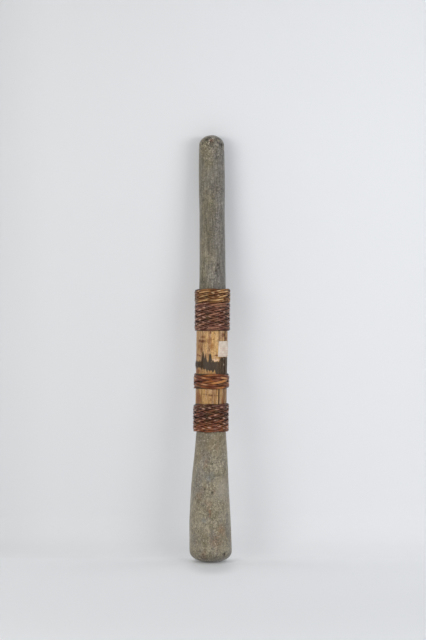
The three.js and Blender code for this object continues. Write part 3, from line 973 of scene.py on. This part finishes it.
def plait_cane(ring, side):
    """One of a ring's two canes: its points, faces, values and UV map."""
    path, angle, walk, leaning, passed, over, pitch = cane_line(ring, side)
    ahead = unit(np.gradient(path, axis=0))
    radial = np.stack([np.cos(angle), np.sin(angle), 0 * angle], -1)
    aside = unit(np.cross(radial, ahead))
    out = np.cross(ahead, aside)
    path = path + aside * (side * pitch / 2)
    roll = (ROLL_STRAY * noise_at(walk, 0.8, 12) - ROLL * leaning * np.sin(math.pi * passed))[:, None]
    tilted_aside = aside * np.cos(roll) + out * np.sin(roll)
    tilted_out = out * np.cos(roll) - aside * np.sin(roll)

    a = (np.arange(CANE_SIDES) + 0.5) * 2 * math.pi / CANE_SIDES
    across = np.sign(np.cos(a)) * np.abs(np.cos(a)) ** CANE_SQUARENESS
    tall = np.sign(np.sin(a)) * np.abs(np.sin(a)) ** CANE_FLATNESS * ring.thickness / 2
    wide = (pitch - SIDE_GAP) * (1 + WIDTH_STRAY * noise_at(walk, 0.6, 20))
    points = path[:, None] + tilted_aside[:, None] * (across * wide[:, None] / 2)[..., None]
    points = points + tilted_out[:, None] * tall[None, :, None]

    along = distance_along(path)[:, None]
    uv = np.stack(np.broadcast_arrays(across * pitch / 2 + side * 0.01, along + side * 3), -1)
    values = cane_values(walk, leaning, passed, over, across, np.sin(a))
    return points.reshape(-1, 3), tube_faces(len(path), CANE_SIDES), values, uv.reshape(-1, 2)


def make_ring(ring, material):
    """A ring plaited from a pair of canes that run side by side."""
    canes = [plait_cane(ring, side) for side in (1, -1)]
    points = np.concatenate([cane[0] for cane in canes])
    faces = canes[0][1] + [tuple(i + len(canes[0][0]) for i in face) for face in canes[1][1]]
    values = {key: np.concatenate([cane[2][key] for cane in canes]) for key in canes[0][2]}
    uv = np.concatenate([cane[3] for cane in canes])
    dress(make_mesh("plait_" + ring.node, points, faces, values, uv), ring.node, material)


def cane_material(name):
    """Glossy split cane that goes from pale to deep brown along each strand, with painted shade along its
    edges and under crossings, and painted glints on its crowns.
    """
    s = Surface(name)
    pale, full, deep, wear_and_glint_tone = CANES[name]
    lie = s.lie()
    place = s.place()
    fibre = s.noise(lie, 2200, 3, 0.6, (1, 0.015, 1))
    stain = s.noise(lie, 70, 4, 0.6, (0.6, 0.6, 1), (2, 7, 0))
    hue = s.noise(place, 75, 3, 0.5, (1, 1, 1.5), (5, 1, 3))
    tone = s.math("ADD", s.math("MULTIPLY", s.value("tone"), 0.6), s.math("MULTIPLY", stain, 0.4))
    s.base = s.ramp(tone, [(0.22, pale), (0.48, full), (0.76, deep)])
    if name in CANE_TINGES:
        axis, start, end, colour = CANE_TINGES[name]
        s.tint(colour, s.fit(s.part(place, axis), start, end, 0, 0.75))
    s.tint(OLIVE_TINGE, s.fit(hue, 0.52, 0.66, 0, 0.55))
    s.tint(MAROON_TINGE, s.fit(hue, 0.48, 0.34, 0, 0.55))
    s.tint(pale, s.fit(fibre, 0.4, 0.75, 0, 0.35))
    # Painted glints: the outer faces of the over-crossing crowns are tinted pale, partly as rubbed wear
    s.tint(wear_and_glint_tone, s.fit(s.value("crown"), 0.15, 0.95, 0, 0.72))
    # Painted shade along each cane's edges, in the grooves between strands
    s.base = s.shade(s.base, s.value("edge"), 0.72, 1.0, 1.0, 0.5)
    light = s.mix(s.fit(s.value("lift"), 0.05, 0.9), CANE_SHADOW, (1.0, 1.0, 1.0, 1.0))
    s.base = s.mix(1.0, s.base, light, "MULTIPLY")
    rough = AMBER_ROUGHNESS if name == "amber_cane" else CANE_ROUGHNESS
    s.set(Base_Color=s.base, Roughness=s.fit(fibre, 0.2, 0.8, *rough))
    s.set(Specular_IOR_Level=0.36, Specular_Tint=CANE_GLOSS_TINT)
    s.set(Normal=s.bump(fibre, 0.00008, 0.5))
    return s.material


# Paper label

LABEL_TURN = 25
LABEL_WIDTH = 0.032
LABEL_SLANT = -0.06
LABEL_TRIM = 0.0011
LABEL_SEAT = 0.00012
LABEL_THICKNESS = 0.00018
LABEL_WAVE = 0.00004
LABEL_ROWS = 46
LABEL_COLUMNS = 66
# How far its two left corners lift, and from how far away
LOWER_CURL = (0.0005, 0.007)
UPPER_CURL = (0.0003, 0.005)
PAPER_TONES = rgb(202, 186, 170), rgb(224, 211, 196)
# Faint ruled lines on its lower half
RULE_TONE = rgb(208, 150, 142)
RULE_SPACING = 0.0034
RULE_WIDTH = (0.0004, 0.0002)
RULED_TOP = (0.0125, 0.012)
RULED_LEFT = (0.0018, 0.0022)


def make_label():
    low, high = heights("paper_label")
    low += LABEL_TRIM
    z = np.linspace(low, high, LABEL_ROWS)[:, None]
    across = np.linspace(0, LABEL_WIDTH, LABEL_COLUMNS)[None, :]
    slanted = across - LABEL_SLANT * (z - high) * (1 - across / LABEL_WIDTH)
    angle = from_front(LABEL_TURN) + slanted / grip_radius((low + high) / 2)
    still = on_axis(grip_radius(z), angle, z)
    inside = grip_radius(z) + LABEL_SEAT + LABEL_WAVE * (1 + noise_at(still, 180, 2))
    for lift, reach, up in ((*LOWER_CURL, z - low), (*UPPER_CURL, high - z)):
        inside = inside + lift * ease(reach, 0.0, np.hypot(across, up)) ** 2
    inner = on_axis(inside, angle, z)
    outer = on_axis(inside + LABEL_THICKNESS, angle, z)
    half = LABEL_ROWS * LABEL_COLUMNS
    front = grid_faces(LABEL_ROWS, LABEL_COLUMNS, False)
    back = [tuple(i + half for i in reversed(face)) for face in front]
    cell = np.arange(half).reshape(LABEL_ROWS, LABEL_COLUMNS)
    rim = np.concatenate([cell[0], cell[1:, -1], cell[-1, -2::-1], cell[-2:0:-1, 0]]).tolist()
    sides = [(b, a, a + half, b + half) for a, b in zip(rim, rim[1:] + rim[:1])]
    uv = np.stack(np.broadcast_arrays(across, z - low), -1).reshape(-1, 2)
    points = np.concatenate([outer.reshape(-1, 3), inner.reshape(-1, 3)])
    piece = make_mesh("blank_label", points, front + back + sides, None, np.concatenate([uv, uv]))
    dress(piece, "paper_label", paper_material())


def paper_material():
    """Old matt paper with faint ruled lines and no writing."""
    s = Surface("old_paper")
    lie = s.lie()
    across = s.part(lie, X)
    up = s.part(lie, Y)
    cloud = s.noise(lie, 130, 4, 0.6)
    fibre = s.noise(lie, 2500, 3, 0.6)
    s.base = s.mix(s.fit(cloud, 0.35, 0.7), *PAPER_TONES)
    line = s.math("ABSOLUTE", s.math("SUBTRACT", s.math("MODULO", up, RULE_SPACING), RULE_SPACING / 2))
    inside = s.math("MULTIPLY", s.fit(up, *RULED_TOP), s.fit(across, *RULED_LEFT))
    s.tint(RULE_TONE, s.fit(line, *RULE_WIDTH), inside, s.fit(fibre, 0.3, 0.6, 0.2, 0.6))
    edge = s.math("MINIMUM", across, up)
    s.tint(rgb(176, 150, 122), s.fit(edge, 0.001, 0.0, 0, 0.5))
    s.set(Base_Color=s.base, Roughness=0.8, Specular_IOR_Level=0.3)
    s.set(Normal=s.bump(fibre, 0.00005, 0.4))
    return s.material


# Stage, light and camera

CAMERA_DISTANCE = 2.2
CAMERA_HEIGHT = 0.3396
CAMERA_ASIDE = 0.0041
LENS = 87.84
SENSOR = 36
# The sheet: (height, distance behind the axis), and the radius of the bend at its foot
SHEET_STATIONS = [(0.06, 0.087), (0.3, 0.0555), (0.5, 0.025), (0.62, 0.0195), (1.3, 0.0195)]
SHEET_COVE = 0.05
COVE_STEPS = 24
WALL_STEPS = 60
# Its columns from left to right, and how much of the bow each has: the left side lies further back
SHEET_COLUMNS = [-1.6, -0.018, 0.018, 1.6]
SHEET_BOWED = [1, 1, 0, 0]
SHEET_BOW = 0.0085
SHEET_BOW_PLACE = (0.475, 0.09)
SHEET_FRONT = -2.2
FLOOR_HALF = 3.0
FLOOR_DROP = 0.0008
# Colours of the floor, the sheet and its glow, from left to right, and the shade at the pestle's foot
FLOOR_TONE = rgb(243, 244, 246)
FLOOR_FRONT_TONE = rgb(232, 233, 235)
SHEET_TONES = rgb(220, 221, 223), rgb(230, 231, 234)
PAPER_ROUGHNESS = 0.95
PAPER_GLOSS = 0.1
FOOT_SHADE_TONE = rgb(220, 221, 222)
FOOT_SHADE_PLACE = (0.003, -0.055, 0.0)
FOOT_SHADE_SIZE = (0.042, 0.085, 0.05)
GLOW_TONES = rgb(221, 222, 224), rgb(230, 231, 233)
GLOW_ABOVE = 0.1
GLOW_BELOW = 0.46
NEAR_TONE = rgb(243, 244, 246)
NEAR_PLACE = (0.034, 0.08, 0.08)
NEAR_SIZE = (0.045, 1.0, 0.26)
# Lamps: name, place, size, power and colour
LAMPS = [
    ("left_window", (-0.91, -1.31, 0.58), (0.8, 0.3), 8.0, (1.0, 0.982, 0.95)),
    ("right_window", (0.98, -1.26, 0.58), (0.8, 0.3), 8.0, (0.962, 0.986, 1.0)),
    ("rear_window", (0.0, 2.2, 0.9), (1.4, 1.2), 4.0, (1.0, 1.0, 1.0)),
]
LAMP_AIM = (0, 0, 0.3)
ROOM_TONE = rgb(228, 229, 230)
ROOM_STRENGTH = 0.58


def make_stage():
    """A pale floor, and a sheet that leans in behind the pestle to take its soft shadows."""
    (low, foot), (high, above) = SHEET_STATIONS[:2]
    t = np.linspace(0, math.pi / 2 + math.atan2(foot - above, high - low), COVE_STEPS)
    cove = np.stack([SHEET_COVE * np.sin(t), SHEET_COVE * (1 - np.cos(t))], -1)
    z = np.linspace(cove[-1, 1], SHEET_STATIONS[-1][0], WALL_STEPS)
    wall = np.stack([smooth(SHEET_STATIONS, z), z], -1)
    cove[:, 0] += wall[0, 0] - cove[-1, 0]
    line = np.concatenate([[(SHEET_FRONT, 0)], cove, wall[1:]])
    back = np.array([SHEET_BOW * hump(*SHEET_BOW_PLACE, line[:, 1]) * bowed for bowed in SHEET_BOWED]).T
    points = np.stack(np.broadcast_arrays(SHEET_COLUMNS, line[:, :1] + back, line[:, 1:]), -1).reshape(-1, 3)
    sheet = make_mesh("stage_sheet", points, grid_faces(len(line), len(SHEET_COLUMNS), False))
    sheet.data.materials.append(sheet_material())
    corners = [(-1, -1), (1, -1), (1, 1), (-1, 1)]
    below = np.array([(x * FLOOR_HALF, y * FLOOR_HALF, -FLOOR_DROP) for x, y in corners])
    floor = make_mesh("stage_floor", below, [(0, 1, 2, 3)])
    floor.data.materials.append(floor_material())


def floor_material():
    s = Surface("floor_paper")
    grain = s.noise(s.place(), 900, 2, 0.5)
    s.set(Base_Color=s.shade(FLOOR_TONE, grain, 0.3, 0.7, 0.985, 1.0))
    s.set(Roughness=PAPER_ROUGHNESS, Specular_IOR_Level=PAPER_GLOSS)
    return s.material


def sheet_tone(s, place):
    """The sheet's colour: darker to the left with painted shade at the far left, paler where it lies on the
    floor, and a painted shadow before the pestle's foot.
    """
    aside = s.part(place, X)
    back = s.part(place, Y)
    tone = s.mix(s.fit(aside, -0.3, 0.3), *SHEET_TONES)
    # Painted shade at the far left of the sheet
    tone = s.shade(tone, aside, -0.32, -0.22, 0.92, 1.0)
    floor = s.mix(s.fit(back, 0.0, -0.5), FLOOR_TONE, FLOOR_FRONT_TONE)
    # Painted shadow on the floor in front of the pestle's foot
    floor = s.mix(s.spot(place, FOOT_SHADE_PLACE, FOOT_SHADE_SIZE), floor, FOOT_SHADE_TONE)
    low = s.math("MULTIPLY", s.fit(back, 0.075, 0.02), s.fit(s.part(place, Z), 0.08, 0.05))
    return s.mix(low, tone, floor)


def sheet_glow(s, place):
    """The pale light of the sheet where it is seen, and the light's share."""
    share = s.math("MULTIPLY", s.seen(), s.fit(s.part(place, Z), 0.52, 0.25, GLOW_ABOVE, GLOW_BELOW))
    share = s.math("MULTIPLY", share, s.fit(s.part(place, Y), -0.03, 0.05, 0.0, 0.8))
    glow = s.mix(s.fit(s.part(place, X), -0.2, 0.2), *GLOW_TONES)
    glow = s.mix(s.spot(place, NEAR_PLACE, NEAR_SIZE), glow, NEAR_TONE)
    return s.add("Emission", {"Color": glow, "Strength": 1.0}), share


def sheet_material():
    """Pale matt paper that hides nothing from behind and lets the lamps through."""
    s = Surface("sheet_paper")
    place = s.place()
    s.set(Base_Color=sheet_tone(s, place), Roughness=PAPER_ROUGHNESS, Specular_IOR_Level=PAPER_GLOSS)
    glow, share = sheet_glow(s, place)
    pale = s.add("MixShader", {0: share, 1: s.shader.outputs[0], 2: glow})
    behind = s.add("NewGeometry", {}, "Backfacing")
    clear = s.add("BsdfTransparent", {})
    out = s.add("MixShader", {0: s.math("MAXIMUM", behind, s.ray("Shadow")), 1: pale, 2: clear})
    s.put(s.tree.nodes["Material Output"].inputs["Surface"], out)
    return s.material


def add_lamp(name, place, size, power, colour):
    """An area lamp that points at the middle of the pestle."""
    lamp = bpy.data.lights.new(name, "AREA")
    lamp.shape = "RECTANGLE"
    lamp.size, lamp.size_y = size
    lamp.energy = power
    lamp.color = colour
    holder = add_object(name, lamp)
    holder.location = place
    direction = Vector(LAMP_AIM) - holder.location
    holder.rotation_euler = direction.to_track_quat("-Z", "Y").to_euler()


def light_stage():
    """The lamps, and a pale room that is brighter where it is seen than as a light."""
    for lamp in LAMPS:
        add_lamp(*lamp)
    room = Surface("pale_room", "worlds", "Background")
    room.set(Color=ROOM_TONE, Strength=room.fit(room.seen(), 0.0, 1.0, ROOM_STRENGTH, 1.0))
    bpy.context.scene.world = room.material


def add_camera():
    camera = bpy.data.cameras.new("photo_camera")
    camera.lens = LENS
    camera.sensor_width = SENSOR
    holder = add_object("photo_camera", camera)
    holder.location = (CAMERA_ASIDE, -CAMERA_DISTANCE, CAMERA_HEIGHT)
    holder.rotation_euler = (math.pi / 2, 0, 0)
    bpy.context.scene.camera = holder


add_camera()
make_stone()
bamboo = bamboo_material()
for number in range(1, len(SEAMS) + 1):
    make_splint(number, bamboo)
canes = {name: cane_material(name) for name in CANES}
for ring in RINGS:
    make_ring(ring, canes[ring.cane])
make_label()
make_stage()
light_stage()
bpy.context.scene.view_settings.view_transform = "Standard"
